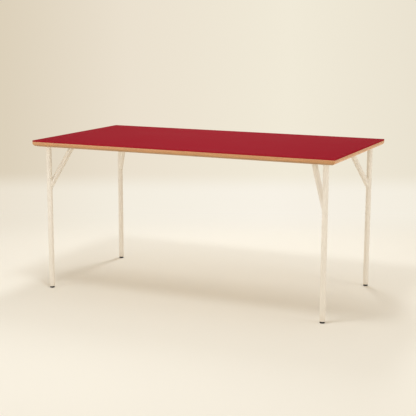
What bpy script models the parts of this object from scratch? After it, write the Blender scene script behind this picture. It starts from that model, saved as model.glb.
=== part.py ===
"""Four-legged table: a red surface sheet on a plywood core with an undercut edge,
carried by four welded leg units with a diagonal brace and a levelling foot each.

Metres, +Z up. The origin is on the floor under the centre of the top, +X runs along
the long side and -Y is the front.
"""

import bmesh
import bpy
from math import atan2, cos, hypot, pi, radians
from mathutils import Matrix

# Overall size
TABLE_LENGTH = 1.500
TABLE_DEPTH = 0.800
TABLE_HEIGHT = 0.730

# Clearances
SEAT_GAP = 0.0003
CUT_OVERRUN = 0.002
MERGE_DISTANCE = 0.00001

# Tabletop layers, from the top down
SURFACE_THICKNESS = 0.007
SURFACE_EASING = 0.0006
CORE_THICKNESS = 0.021
UNDERCUT_RADIUS = 0.016
BACKING_THICKNESS = 0.001

# Leg and brace tubes
LEG_INSET = 0.055
LEG_DIAMETER = 0.0254
LEG_WALL = 0.002
BRACE_DIAMETER = 0.025
BRACE_WALL = 0.0015
BRACE_REACH = 0.116
BRACE_JOINT_HEIGHT = 0.495

# Mounting plate, welded across the tops of the two tubes
PLATE_THICKNESS = 0.004
PLATE_EASING = 0.0006
PLATE_NOSE_MARGIN = 0.009
PLATE_LUG_RADIUS = 0.013
NEAR_SCREW_REACH = 0.045
NEAR_SCREW_SPREAD = 0.022
FAR_SCREW_REACH = 0.124
FAR_SCREW_SPREAD = 0.036

# Machine screws and the threaded inserts that they run into
SCREW_DIAMETER = 0.006
SCREW_LENGTH = 0.016
SCREW_TIP_CHAMFER = 0.0008
SCREW_HOLE_CLEARANCE = 0.0005
HEAD_DIAMETER = 0.0105
HEAD_HEIGHT = 0.0033
HEAD_RIM_HEIGHT = 0.0010
HEAD_SHOULDER_SHARE = 0.7
HEAD_LAND = 0.0008
SOCKET_ACROSS_FLATS = 0.004
SOCKET_DEPTH = 0.0018
INSERT_DIAMETER = 0.0095
INSERT_LENGTH = 0.013
INSERT_CHAMFER = 0.0005

# Threaded bush in the bottom of the leg tube
BUSH_HEIGHT = 0.012
BUSH_CHAMFER = 0.0008

# Foot pad: a sole, a pocket for the stem's collar and a lip that holds the collar in
PAD_DIAMETER = 0.022
PAD_SOLE = 0.0013
PAD_LIP = 0.0013
PAD_EDGE_CHAMFER = 0.0006
PAD_SHOULDER_CHAMFER = 0.0015

# Levelling stem
STEM_DIAMETER = 0.008
STEM_SCREW_LENGTH = 0.030
STEM_TIP_CHAMFER = 0.001
COLLAR_DIAMETER = 0.012
COLLAR_HEIGHT = 0.0018
HEX_ACROSS_FLATS = 0.013
HEX_HEIGHT = 0.0024

# Facets of the round pieces
TUBE_FACETS = 36
FOOT_FACETS = 24
STEM_FACETS = 20
HARDWARE_FACETS = 12
CORNER_FACETS = 24
UNDERCUT_STEPS = 6
HEX_FACETS = 6

# Heights that follow from the layers
SURFACE_BOTTOM = TABLE_HEIGHT - SURFACE_THICKNESS
CORE_TOP = SURFACE_BOTTOM - SEAT_GAP
CORE_BOTTOM = CORE_TOP - CORE_THICKNESS
BACKING_TOP = CORE_BOTTOM - SEAT_GAP
BACKING_BOTTOM = BACKING_TOP - BACKING_THICKNESS
PLATE_TOP = BACKING_BOTTOM - SEAT_GAP
PLATE_BOTTOM = PLATE_TOP - PLATE_THICKNESS
TUBE_TOP = PLATE_BOTTOM - SEAT_GAP
HEAD_TOP = PLATE_BOTTOM - SEAT_GAP

# Heights that follow from the foot
COLLAR_BOTTOM = PAD_SOLE + SEAT_GAP
COLLAR_TOP = COLLAR_BOTTOM + COLLAR_HEIGHT
POCKET_TOP = COLLAR_TOP + SEAT_GAP
PAD_HEIGHT = POCKET_TOP + PAD_LIP
HEX_BOTTOM = PAD_HEIGHT + SEAT_GAP
HEX_TOP = HEX_BOTTOM + HEX_HEIGHT
LEG_BOTTOM = HEX_TOP + SEAT_GAP
STEM_TOP = HEX_TOP + STEM_SCREW_LENGTH

# The four corners, as signs along X and Y
CORNERS = {
    "front_left": (-1, -1),
    "front_right": (1, -1),
    "rear_left": (-1, 1),
    "rear_right": (1, 1),
}

# The four screws of a plate, in the leg unit's own frame, +X towards the table's centre
SCREW_PLACES = [
    (NEAR_SCREW_REACH, NEAR_SCREW_SPREAD),
    (NEAR_SCREW_REACH, -NEAR_SCREW_SPREAD),
    (FAR_SCREW_REACH, FAR_SCREW_SPREAD),
    (FAR_SCREW_REACH, -FAR_SCREW_SPREAD),
]


def clear_scene():
    for item in list(bpy.data.objects):
        bpy.data.objects.remove(item, do_unlink=True)


def new_collection(name):
    collection = bpy.data.collections.new(name)
    bpy.context.scene.collection.children.link(collection)
    return collection


def new_material(name, color, roughness, metallic=0):
    material = bpy.data.materials.new(name)
    material.use_nodes = True
    shader = material.node_tree.nodes["Principled BSDF"]
    shader.inputs["Base Color"].default_value = (*color, 1)
    shader.inputs["Roughness"].default_value = roughness
    shader.inputs["Metallic"].default_value = metallic
    material.diffuse_color = (*color, 1)
    return material


def new_object(name, mesh, collection):
    item = bpy.data.objects.new(name, mesh)
    collection.objects.link(item)
    return item


def mesh_from(bm, name):
    mesh = bpy.data.meshes.new(name)
    bm.to_mesh(mesh)
    bm.free()
    return mesh


def hide_cutter(cutter):
    cutter.hide_render = True
    cutter.display_type = "WIRE"


def add_boolean(item, cutter, operation="DIFFERENCE"):
    boolean = item.modifiers.new(operation.lower(), "BOOLEAN")
    boolean.operation = operation
    boolean.solver = "EXACT"
    boolean.object = cutter


def turned(name, profile, facets, collection, closed=False):
    """A piece turned about Z from (radius, height) points that run down its outer side."""
    edges = [(index, index + 1) for index in range(len(profile) - 1)]
    if closed:
        edges.append((len(profile) - 1, 0))
    mesh = bpy.data.meshes.new(name)
    mesh.from_pydata([(radius, 0, height) for radius, height in profile], edges, [])
    item = new_object(name, mesh, collection)
    screw = item.modifiers.new("turn", "SCREW")
    screw.axis = "Z"
    screw.steps = facets
    screw.render_steps = facets
    screw.use_merge_vertices = True
    screw.merge_threshold = MERGE_DISTANCE
    return item


def add_disc(bm, radius, bottom, top, facets, place):
    """A solid disc, cylinder or prism about the Z axis of its place; radius is to its corners."""
    middle = place @ Matrix.Translation((0, 0, (bottom + top) / 2))
    bmesh.ops.create_cone(
        bm, cap_ends=True, segments=facets, radius1=radius, radius2=radius, depth=top - bottom, matrix=middle
    )


def prism(name, radius, bottom, top, facets, collection):
    bm = bmesh.new()
    add_disc(bm, radius, bottom, top, facets, Matrix.Identity(4))
    return new_object(name, mesh_from(bm, name), collection)


def corner_radius(across_flats):
    """Radius to the corners of a hexagon."""
    return across_flats / 2 / cos(pi / HEX_FACETS)


def finished_mesh(item, name, smooth_angle=radians(35)):
    """The evaluated mesh of a worked piece, whose own object is then cleared away."""
    bpy.context.view_layer.update()
    depsgraph = bpy.context.evaluated_depsgraph_get()
    mesh = bpy.data.meshes.new_from_object(item.evaluated_get(depsgraph))
    mesh.name = name
    mesh.shade_smooth()
    mesh.set_sharp_from_angle(angle=smooth_angle)
    bpy.data.objects.remove(item, do_unlink=True)
    return mesh


def unit_place(signs):
    """Place of a leg unit: on the leg's axis at the floor, +X towards the table's centre."""
    along, across = signs
    foot = (along * (TABLE_LENGTH / 2 - LEG_INSET), across * (TABLE_DEPTH / 2 - LEG_INSET), 0)
    return Matrix.Translation(foot) @ Matrix.Rotation(atan2(-across, -along), 4, "Z")


def slab(name, length, depth, bottom, top, collection):
    """A flat rectangular board, centred on Z."""
    bm = bmesh.new()
    size = Matrix.Diagonal((length, depth, top - bottom, 1))
    bmesh.ops.create_cube(bm, size=1, matrix=size)
    item = new_object(name, mesh_from(bm, name), collection)
    item.location.z = (bottom + top) / 2
    return item


def make_surface(table):
    surface = slab("top_surface", TABLE_LENGTH, TABLE_DEPTH, SURFACE_BOTTOM, TABLE_HEIGHT, table)
    easing = surface.modifiers.new("eased edges", "BEVEL")
    easing.width = SURFACE_EASING
    easing.segments = 2
    surface.data.materials.append(new_material("red surface", (0.366, 0.022, 0.034), 0.55))


def round_under(mesh, radius, steps):
    """Round the lower perimeter of a board, with the corners left as mitres."""
    bm = bmesh.new()
    bm.from_mesh(mesh)
    lower = [edge for edge in bm.edges if all(vert.co.z < 0 for vert in edge.verts)]
    bmesh.ops.bevel(
        bm, geom=lower, offset=radius, offset_type="OFFSET", segments=steps, profile=0.5, affect="EDGES"
    )
    bm.to_mesh(mesh)
    bm.free()


def make_core(table, drill):
    core = slab("top_core", TABLE_LENGTH, TABLE_DEPTH, CORE_BOTTOM, CORE_TOP, table)
    round_under(core.data, UNDERCUT_RADIUS, UNDERCUT_STEPS)
    add_boolean(core, drill)
    core.data.shade_smooth()
    core.data.set_sharp_from_angle(angle=radians(35))
    core.data.materials.append(new_material("birch plywood", (0.686, 0.352, 0.159), 0.5))


def make_backing(table, drill):
    length = TABLE_LENGTH - 2 * UNDERCUT_RADIUS
    depth = TABLE_DEPTH - 2 * UNDERCUT_RADIUS
    backing = slab("top_backing", length, depth, BACKING_BOTTOM, BACKING_TOP, table)
    add_boolean(backing, drill)
    backing.data.materials.append(new_material("backing sheet", (0.55, 0.43, 0.30), 0.65))


def make_insert_drill(cutters):
    """Sixteen drills as one cutter, through the backing and part way into the core."""
    radius = INSERT_DIAMETER / 2 + SEAT_GAP
    bottom = BACKING_BOTTOM - CUT_OVERRUN
    top = CORE_BOTTOM + INSERT_LENGTH + SEAT_GAP
    bm = bmesh.new()
    for signs in CORNERS.values():
        for reach, spread in SCREW_PLACES:
            place = unit_place(signs) @ Matrix.Translation((reach, spread, 0))
            add_disc(bm, radius, bottom, top, HARDWARE_FACETS, place)
    drill = new_object("insert_drill", mesh_from(bm, "insert_drill"), cutters)
    hide_cutter(drill)
    return drill


def tube_profile(diameter, wall, bottom, top):
    outer = diameter / 2
    inner = outer - wall
    return [(outer, top), (outer, bottom), (inner, bottom), (inner, top)]


def leg_tube_mesh(bench):
    profile = tube_profile(LEG_DIAMETER, LEG_WALL, LEG_BOTTOM, TUBE_TOP)
    tube = turned("leg_tube", profile, TUBE_FACETS, bench, closed=True)
    return finished_mesh(tube, "leg_tube")


def brace_lean():
    """Angle of the brace from the upright."""
    return atan2(BRACE_REACH, TUBE_TOP - BRACE_JOINT_HEIGHT)


def brace_tube_mesh(bench):
    """A tube cut level under the plate and coped to fit round the leg tube."""
    length = hypot(BRACE_REACH, TUBE_TOP - BRACE_JOINT_HEIGHT) + BRACE_DIAMETER
    profile = tube_profile(BRACE_DIAMETER, BRACE_WALL, 0, length)
    tube = turned("brace_tube", profile, TUBE_FACETS, bench, closed=True)
    tube.matrix_world = Matrix.Translation((0, 0, BRACE_JOINT_HEIGHT)) @ Matrix.Rotation(brace_lean(), 4, "Y")
    cope = prism("cope", LEG_DIAMETER / 2 + SEAT_GAP, 0, TABLE_HEIGHT, TUBE_FACETS, bench)
    level_radius = BRACE_REACH + 2 * BRACE_DIAMETER
    level = prism("level", level_radius, TUBE_TOP, TABLE_HEIGHT + BRACE_DIAMETER, TUBE_FACETS, bench)
    add_boolean(tube, cope)
    add_boolean(tube, level)
    mesh = finished_mesh(tube, "brace_tube")
    bpy.data.objects.remove(cope, do_unlink=True)
    bpy.data.objects.remove(level, do_unlink=True)
    return mesh


def mount_plate_mesh(bench):
    """A rounded triangle: the hull of a disc round the leg tube and one round each far screw."""
    discs = [
        (0, 0, LEG_DIAMETER / 2 + PLATE_NOSE_MARGIN),
        (FAR_SCREW_REACH, FAR_SCREW_SPREAD, PLATE_LUG_RADIUS),
        (FAR_SCREW_REACH, -FAR_SCREW_SPREAD, PLATE_LUG_RADIUS),
    ]
    bm = bmesh.new()
    for reach, spread, radius in discs:
        place = Matrix.Translation((reach, spread, 0))
        add_disc(bm, radius, PLATE_BOTTOM, PLATE_TOP, CORNER_FACETS, place)
    hull = bmesh.ops.convex_hull(bm, input=bm.verts)
    bmesh.ops.delete(bm, geom=[part for part in hull["geom_interior"] if part.is_valid], context="VERTS")
    bmesh.ops.dissolve_limit(bm, angle_limit=radians(1), verts=bm.verts, edges=bm.edges)
    plate = new_object("mount_plate", mesh_from(bm, "mount_plate"), bench)
    easing = plate.modifiers.new("eased edges", "BEVEL")
    easing.width = PLATE_EASING
    easing.segments = 1
    easing.angle_limit = radians(60)
    drills = []
    for reach, spread in SCREW_PLACES:
        radius = SCREW_DIAMETER / 2 + SCREW_HOLE_CLEARANCE
        bottom = PLATE_BOTTOM - CUT_OVERRUN
        drill = prism("drill", radius, bottom, PLATE_TOP + CUT_OVERRUN, HARDWARE_FACETS, bench)
        drill.location = (reach, spread, 0)
        add_boolean(plate, drill)
        drills.append(drill)
    mesh = finished_mesh(plate, "mount_plate")
    for drill in drills:
        bpy.data.objects.remove(drill, do_unlink=True)
    return mesh


def foot_bush_mesh(bench):
    outer = LEG_DIAMETER / 2 - LEG_WALL - SEAT_GAP
    inner = STEM_DIAMETER / 2 + SEAT_GAP
    top = LEG_BOTTOM + BUSH_HEIGHT
    profile = [
        (outer - BUSH_CHAMFER, top),
        (outer, top - BUSH_CHAMFER),
        (outer, LEG_BOTTOM),
        (inner + BUSH_CHAMFER, LEG_BOTTOM),
        (inner, LEG_BOTTOM + BUSH_CHAMFER),
        (inner, top),
    ]
    return finished_mesh(turned("foot_bush", profile, FOOT_FACETS, bench, closed=True), "foot_bush")


def foot_stem_mesh(bench):
    """Threaded stem with a spanner hexagon and, below it, the collar that the pad holds."""
    radius = STEM_DIAMETER / 2
    collar = COLLAR_DIAMETER / 2
    profile = [
        (0, STEM_TOP),
        (radius - STEM_TIP_CHAMFER, STEM_TOP),
        (radius, STEM_TOP - STEM_TIP_CHAMFER),
        (radius, COLLAR_TOP),
        (collar, COLLAR_TOP),
        (collar, COLLAR_BOTTOM),
        (0, COLLAR_BOTTOM),
    ]
    stem = turned("foot_stem", profile, STEM_FACETS, bench)
    hexagon = prism("hexagon", corner_radius(HEX_ACROSS_FLATS), HEX_BOTTOM, HEX_TOP, HEX_FACETS, bench)
    add_boolean(stem, hexagon, "UNION")
    mesh = finished_mesh(stem, "foot_stem")
    bpy.data.objects.remove(hexagon, do_unlink=True)
    return mesh


def foot_pad_mesh(bench):
    """Round pad whose pocket widens under a lip, so that the stem's collar stays in it."""
    outer = PAD_DIAMETER / 2
    mouth = STEM_DIAMETER / 2 + SEAT_GAP
    pocket = COLLAR_DIAMETER / 2 + SEAT_GAP
    profile = [
        (0, PAD_SOLE),
        (pocket, PAD_SOLE),
        (pocket, POCKET_TOP),
        (mouth, POCKET_TOP),
        (mouth, PAD_HEIGHT),
        (outer - PAD_SHOULDER_CHAMFER, PAD_HEIGHT),
        (outer, PAD_HEIGHT - PAD_SHOULDER_CHAMFER),
        (outer, PAD_EDGE_CHAMFER),
        (outer - PAD_EDGE_CHAMFER, 0),
        (0, 0),
    ]
    return finished_mesh(turned("foot_pad", profile, FOOT_FACETS, bench), "foot_pad")


def plate_screw_mesh(bench):
    """Button-head machine screw, its head's seat at height zero and its shank upwards."""
    shank = SCREW_DIAMETER / 2
    head = HEAD_DIAMETER / 2
    crown = corner_radius(SOCKET_ACROSS_FLATS) + HEAD_LAND
    shoulder = HEAD_RIM_HEIGHT + (HEAD_HEIGHT - HEAD_RIM_HEIGHT) * HEAD_SHOULDER_SHARE
    profile = [
        (0, SCREW_LENGTH),
        (shank - SCREW_TIP_CHAMFER, SCREW_LENGTH),
        (shank, SCREW_LENGTH - SCREW_TIP_CHAMFER),
        (shank, 0),
        (head, 0),
        (head, -HEAD_RIM_HEIGHT),
        ((head + crown) / 2, -shoulder),
        (crown, -HEAD_HEIGHT),
        (0, -HEAD_HEIGHT),
    ]
    screw = turned("plate_screw", profile, HARDWARE_FACETS, bench)
    socket = prism(
        "socket",
        corner_radius(SOCKET_ACROSS_FLATS),
        -HEAD_HEIGHT - CUT_OVERRUN,
        SOCKET_DEPTH - HEAD_HEIGHT,
        HEX_FACETS,
        bench,
    )
    add_boolean(screw, socket)
    mesh = finished_mesh(screw, "plate_screw")
    bpy.data.objects.remove(socket, do_unlink=True)
    return mesh


def threaded_insert_mesh(bench):
    """Open sleeve, its lower end at height zero."""
    outer = INSERT_DIAMETER / 2
    inner = SCREW_DIAMETER / 2 + SEAT_GAP
    profile = [
        (outer - INSERT_CHAMFER, INSERT_LENGTH),
        (outer, INSERT_LENGTH - INSERT_CHAMFER),
        (outer, 0),
        (inner, 0),
        (inner, INSERT_LENGTH),
    ]
    return finished_mesh(
        turned("threaded_insert", profile, HARDWARE_FACETS, bench, closed=True), "threaded_insert"
    )


def place_piece(name, mesh, material, unit, table, location=(0, 0, 0), tilt=0):
    """One piece of a leg unit; pieces of the same shape share their mesh."""
    if not mesh.materials:
        mesh.materials.append(material)
    piece = new_object(name, mesh, table)
    piece.parent = unit
    piece.location = location
    piece.rotation_euler.y = tilt
    return piece


def main():
    clear_scene()
    table = new_collection("table")
    cutters = new_collection("cutters")
    drill = make_insert_drill(cutters)
    make_surface(table)
    make_core(table, drill)
    make_backing(table, drill)

    # Each shape of the leg unit is worked once on the bench
    leg_tube = leg_tube_mesh(cutters)
    brace_tube = brace_tube_mesh(cutters)
    mount_plate = mount_plate_mesh(cutters)
    foot_bush = foot_bush_mesh(cutters)
    foot_stem = foot_stem_mesh(cutters)
    foot_pad = foot_pad_mesh(cutters)
    plate_screw = plate_screw_mesh(cutters)
    threaded_insert = threaded_insert_mesh(cutters)

    leg_coat = new_material("leg powder coat", (0.80, 0.74, 0.62), 0.45)
    brace_coat = new_material("brace powder coat", (0.80, 0.74, 0.62), 0.45)
    plate_coat = new_material("plate powder coat", (0.80, 0.74, 0.62), 0.45)
    bush_steel = new_material("bush steel", (0.55, 0.54, 0.52), 0.4, 1)
    stem_steel = new_material("stem black steel", (0.03, 0.03, 0.032), 0.4, 1)
    pad_nylon = new_material("pad black nylon", (0.02, 0.02, 0.022), 0.55)
    screw_zinc = new_material("screw zinc", (0.60, 0.60, 0.58), 0.32, 1)
    insert_zinc = new_material("insert zinc", (0.62, 0.58, 0.45), 0.35, 1)

    for corner, signs in CORNERS.items():
        unit = new_object(f"leg_unit_{corner}", None, table)
        unit.matrix_world = unit_place(signs)
        brace_foot = (0, 0, BRACE_JOINT_HEIGHT)
        place_piece(f"leg_tube_{corner}", leg_tube, leg_coat, unit, table)
        place_piece(f"brace_tube_{corner}", brace_tube, brace_coat, unit, table, brace_foot, brace_lean())
        place_piece(f"mount_plate_{corner}", mount_plate, plate_coat, unit, table)
        place_piece(f"foot_bush_{corner}", foot_bush, bush_steel, unit, table)
        place_piece(f"foot_stem_{corner}", foot_stem, stem_steel, unit, table)
        place_piece(f"foot_pad_{corner}", foot_pad, pad_nylon, unit, table)
        for number, (reach, spread) in enumerate(SCREW_PLACES, start=1):
            screw_place = (reach, spread, HEAD_TOP)
            insert_place = (reach, spread, CORE_BOTTOM)
            place_piece(f"plate_screw_{corner}_{number}", plate_screw, screw_zinc, unit, table, screw_place)
            place_piece(
                f"threaded_insert_{corner}_{number}", threaded_insert, insert_zinc, unit, table, insert_place
            )


main()
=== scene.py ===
from math import atan2, ceil, cos, hypot, pi, radians, sin, sqrt, tau

import bmesh
import bpy
from mathutils import Matrix, Vector


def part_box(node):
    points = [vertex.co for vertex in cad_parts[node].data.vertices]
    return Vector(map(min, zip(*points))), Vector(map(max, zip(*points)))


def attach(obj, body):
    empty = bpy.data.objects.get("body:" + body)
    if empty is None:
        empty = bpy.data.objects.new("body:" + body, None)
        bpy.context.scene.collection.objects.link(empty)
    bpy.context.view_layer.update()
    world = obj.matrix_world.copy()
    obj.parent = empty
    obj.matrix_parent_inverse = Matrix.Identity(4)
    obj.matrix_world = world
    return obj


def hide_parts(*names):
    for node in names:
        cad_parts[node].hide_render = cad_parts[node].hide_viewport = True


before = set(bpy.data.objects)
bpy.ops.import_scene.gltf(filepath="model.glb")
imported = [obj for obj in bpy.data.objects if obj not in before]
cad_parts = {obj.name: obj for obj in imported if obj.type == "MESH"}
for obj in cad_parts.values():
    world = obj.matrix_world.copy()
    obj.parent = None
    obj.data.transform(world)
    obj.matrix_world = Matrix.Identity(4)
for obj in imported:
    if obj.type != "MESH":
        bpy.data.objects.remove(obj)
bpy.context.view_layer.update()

# Table with a red top on plywood and four welded tube legs.
# Metres, +Z up, the floor at z = 0, +X along the long side, -Y to the front.

weldGap = 0.000002      # vertices nearer than this are one
cutGap = weldGap / 10   # vertices nearer than this to a cutting plane lie on it
cutOverrun = 0.002      # by which drills and cutters pass what they cut
threadSlack = 0.0002    # by which the shape that trims a thread clears its crest
tableBody = "table_frame"
corners = {
    "front_left": (-1, -1),
    "front_right": (1, -1),
    "rear_left": (-1, 1),
    "rear_right": (1, 1),
}


# Mesh helpers


def meshFrom(bm, name, sharpAngle=35, recalculate=True):
    bmesh.ops.remove_doubles(bm, verts=bm.verts, dist=weldGap)
    if recalculate:
        bmesh.ops.recalc_face_normals(bm, faces=bm.faces)
    mesh = bpy.data.meshes.new(name)
    bm.to_mesh(mesh)
    bm.free()
    mesh.shade_smooth()
    mesh.set_sharp_from_angle(angle=radians(sharpAngle))
    return mesh


def meshOf(item, name):
    # the finished mesh of a worked object, which is then cleared away
    bpy.context.view_layer.update()
    depsgraph = bpy.context.evaluated_depsgraph_get()
    mesh = bpy.data.meshes.new_from_object(item.evaluated_get(depsgraph))
    mesh.name = name
    bpy.data.objects.remove(item, do_unlink=True)
    return mesh


def looseObject(name, data):
    item = bpy.data.objects.new(name, data)
    bpy.context.scene.collection.objects.link(item)
    return item


def carve(bm, cutters, operation="DIFFERENCE"):
    # work a blank with each cutter in turn, and give back the result as a bmesh
    blank = looseObject("blank", meshFrom(bm, "blank"))
    tools = []
    for number, cutter in enumerate(cutters):
        tool = looseObject(f"tool{number}", meshFrom(cutter, f"tool{number}"))
        tool.hide_render = True
        boolean = blank.modifiers.new(f"cut{number}", "BOOLEAN")
        boolean.operation = operation
        boolean.solver = "EXACT"
        boolean.object = tool
        tools.append(tool)
    mesh = meshOf(blank, "carved")
    for tool in tools:
        bpy.data.objects.remove(tool, do_unlink=True)
    carved = bmesh.new()
    carved.from_mesh(mesh)
    bpy.data.meshes.remove(mesh)
    return carved


def addDrum(bm, radius, bottom, top, sides, place=Matrix.Identity(4)):
    # a disc, cylinder or prism on the Z axis of its place
    middle = place @ Matrix.Translation((0, 0, (bottom + top) / 2))
    bmesh.ops.create_cone(
        bm, cap_ends=True, segments=sides, radius1=radius, radius2=radius, depth=top - bottom,
        matrix=middle,
    )


def drum(radius, bottom, top, sides):
    bm = bmesh.new()
    addDrum(bm, radius, bottom, top, sides)
    return bm


def turned(profile, sides, closed=False):
    # spin (radius, height) points about Z
    bm = bmesh.new()
    points = [bm.verts.new((radius, 0, height)) for radius, height in profile]
    lines = [bm.edges.new(pair) for pair in zip(points, points[1:])]
    if closed:
        lines.append(bm.edges.new((points[-1], points[0])))
    bmesh.ops.spin(
        bm, geom=points + lines, cent=(0, 0, 0), axis=(0, 0, 1), angle=tau, steps=sides,
        use_merge=True, use_duplicate=False,
    )
    bmesh.ops.remove_doubles(bm, verts=bm.verts, dist=weldGap)
    bmesh.ops.recalc_face_normals(bm, faces=bm.faces)
    return bm


def roundEdges(bm, edges, radius, steps):
    bmesh.ops.bevel(
        bm, geom=edges, offset=radius, offset_type="OFFSET", segments=steps, profile=0.5,
        affect="EDGES", material=-1, clamp_overlap=True,
    )


def ringEdges(bm, radius, height, reach=0.00002):
    # the edges of one ring of a turned piece
    def onRing(vert):
        return abs(hypot(vert.co.x, vert.co.y) - radius) < reach and abs(vert.co.z - height) < reach
    return [edge for edge in bm.edges if onRing(edge.verts[0]) and onRing(edge.verts[1])]


def foldedEdges(bm, angle):
    # edges where two faces meet at more than the angle, in degrees
    return [
        edge for edge in bm.edges if len(edge.link_faces) == 2 and edge.calc_face_angle() > radians(angle)
    ]


def hexRadius(acrossFlats):
    # from a hexagon's middle to its corners
    return acrossFlats / 2 / cos(pi / 6)


def hexPrism(acrossFlats, bottom, top):
    return drum(hexRadius(acrossFlats), bottom, top, 6)


threadOutline = [(0, 1), (0.14, 1), (0.46, 0), (0.60, 0), (1, 1)]  # shares of the pitch and of the depth


def threadedRod(spec, bottom, top):
    # one pitch of thread spun upwards with a turn to spare at each end, then cut level and closed
    radius, pitch, depth, sides = spec["radius"], spec["pitch"], spec["depth"], spec["sides"]
    turns = ceil((top - bottom) / pitch) + 2
    bm = bmesh.new()
    points = [
        bm.verts.new((radius - depth * down, 0, bottom - pitch + pitch * up)) for up, down in threadOutline
    ]
    lines = [bm.edges.new(pair) for pair in zip(points, points[1:])]
    bmesh.ops.spin(
        bm, geom=points + lines, cent=(0, 0, 0), axis=(0, 0, 1), dvec=(0, 0, pitch / sides),
        angle=tau * turns, steps=sides * turns, use_merge=False, use_duplicate=False,
    )
    bmesh.ops.remove_doubles(bm, verts=bm.verts, dist=weldGap)
    for height, above in ((bottom, False), (top, True)):
        bmesh.ops.bisect_plane(
            bm, geom=bm.verts[:] + bm.edges[:] + bm.faces[:], dist=cutGap, plane_co=(0, 0, height),
            plane_no=(0, 0, 1), clear_outer=above, clear_inner=not above,
        )
    rim = [edge for edge in bm.edges if edge.is_boundary]
    bmesh.ops.holes_fill(bm, edges=rim, sides=0)
    bmesh.ops.recalc_face_normals(bm, faces=bm.faces)
    return bm


def trimmedRod(spec, bottom, top, trim, facets):
    # a threaded rod with its upper rim chamfered and a little taken off its lower end
    rim, chamfer, low = spec["radius"] + threadSlack, spec["tipChamfer"], bottom + trim
    outline = [(0, top), (rim - chamfer, top), (rim, top - chamfer), (rim, low), (0, low)]
    return carve(threadedRod(spec, bottom, top), [turned(outline, facets)], "INTERSECT")


def weldBead(name, path, bead):
    # a closed bead along a seam, with the ripples that a welder leaves
    curve = bpy.data.curves.new(name, "CURVE")
    curve.dimensions = "3D"
    curve.bevel_depth = bead["radius"]
    curve.bevel_resolution = bead["roundness"]
    spline = curve.splines.new("POLY")
    spline.points.add(len(path) - 1)
    for index, (point, place) in enumerate(zip(spline.points, path)):
        point.co = (*place, 1)
        point.radius = 1 + bead["ripple"] * sin(tau * index / bead["pointsPerRipple"])
    spline.use_cyclic_u = True
    mesh = meshOf(looseObject(name, curve), name)
    mesh.shade_smooth()
    return mesh


def addPiece(name, mesh, material, body=tableBody, nodes=()):
    # a finished piece: its place is in its mesh, and its object stays at the origin
    mesh.name = name
    mesh.materials.clear()
    mesh.materials.append(material)
    piece = looseObject(name, mesh)
    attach(piece, body)
    if nodes:
        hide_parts(*nodes)


def unitPlace(corner):
    # a leg unit's own frame: on the leg's axis at the floor, +X towards the table's centre
    low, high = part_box(f"leg_tube_{corner}")
    axis = (low + high) / 2
    along, across = corners[corner]
    return Matrix.Translation((axis.x, axis.y, 0)) @ Matrix.Rotation(atan2(-across, -along), 4, "Z")


def moved(mesh, place):
    copy = mesh.copy()
    copy.transform(place)
    return copy


# Node helpers


def plug(tree, value, socket):
    if isinstance(value, bpy.types.NodeSocket):
        tree.links.new(value, socket)
    else:
        socket.default_value = value


def addNode(tree, kind, inputs=None, **settings):
    node = tree.nodes.new(kind)
    for label, value in settings.items():
        setattr(node, label, value)
    for label, value in (inputs or {}).items():
        plug(tree, value, node.inputs[label])
    return node


def calc(tree, operation, *values):
    return addNode(tree, "ShaderNodeMath", dict(enumerate(values)), operation=operation).outputs[0]


def vectorCalc(tree, operation, *vectors, output="Vector"):
    node = addNode(tree, "ShaderNodeVectorMath", dict(enumerate(vectors)), operation=operation)
    return node.outputs[output]


def axesOf(tree, vector):
    return addNode(tree, "ShaderNodeSeparateXYZ", {"Vector": vector}).outputs


def facingOf(tree):
    # the way that the surface faces, on the object's axes
    return axesOf(tree, tree.nodes["Texture Coordinate"].outputs["Normal"])


def mixColors(tree, factor, first, second, blend="MIX"):
    node = addNode(tree, "ShaderNodeMix", data_type="RGBA", blend_type=blend)
    for value, index in ((factor, 0), (first, 6), (second, 7)):  # the mix node's colour sockets
        plug(tree, value, node.inputs[index])
    return node.outputs[2]


def shaded(tree, color, level):
    # a colour made darker or lighter by a level
    grey = addNode(tree, "ShaderNodeCombineColor", {"Red": level, "Green": level, "Blue": level})
    return mixColors(tree, 1.0, color, grey.outputs["Color"], "MULTIPLY")


def mapRange(tree, value, fromLow, fromHigh, toLow, toHigh, smooth=False):
    ends = {"Value": value, "From Min": fromLow, "From Max": fromHigh, "To Min": toLow, "To Max": toHigh}
    kind = "SMOOTHSTEP" if smooth else "LINEAR"
    return addNode(tree, "ShaderNodeMapRange", ends, interpolation_type=kind).outputs["Result"]


def between(tree, share, first, second):
    return mapRange(tree, share, 0.0, 1.0, first, second)


usualSpan = (0.3, 0.7)  # most of a noise's values lie in here


def fromNoise(tree, value, low, high):
    return mapRange(tree, value, *usualSpan, low, high)


def noise(tree, vector, scale, detail=2.0, roughness=0.5):
    inputs = {"Vector": vector, "Scale": scale, "Detail": detail, "Roughness": roughness}
    return addNode(tree, "ShaderNodeTexNoise", inputs).outputs["Fac"]


def stretched(tree, vector, scale):
    return addNode(tree, "ShaderNodeMapping", {"Vector": vector, "Scale": scale}).outputs["Vector"]


def linear(red, green, blue):
    # a colour as seen on screen, 0 to 255, as the shader wants it: the sRGB curve undone
    def channel(value):
        share = value / 255
        return share / 12.92 if share <= 0.04045 else ((share + 0.055) / 1.055) ** 2.4
    return (channel(red), channel(green), channel(blue), 1)


def newGroup(name, inputs, outputs):
    group = bpy.data.node_groups.new(name, "ShaderNodeTree")
    for label, kind, value in inputs:
        socket = group.interface.new_socket(name=label, in_out="INPUT", socket_type=f"NodeSocket{kind}")
        if value is not None:
            socket.default_value = value
    for label, kind in outputs:
        group.interface.new_socket(name=label, in_out="OUTPUT", socket_type=f"NodeSocket{kind}")
    return group, group.nodes.new("NodeGroupInput").outputs, group.nodes.new("NodeGroupOutput").inputs


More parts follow.
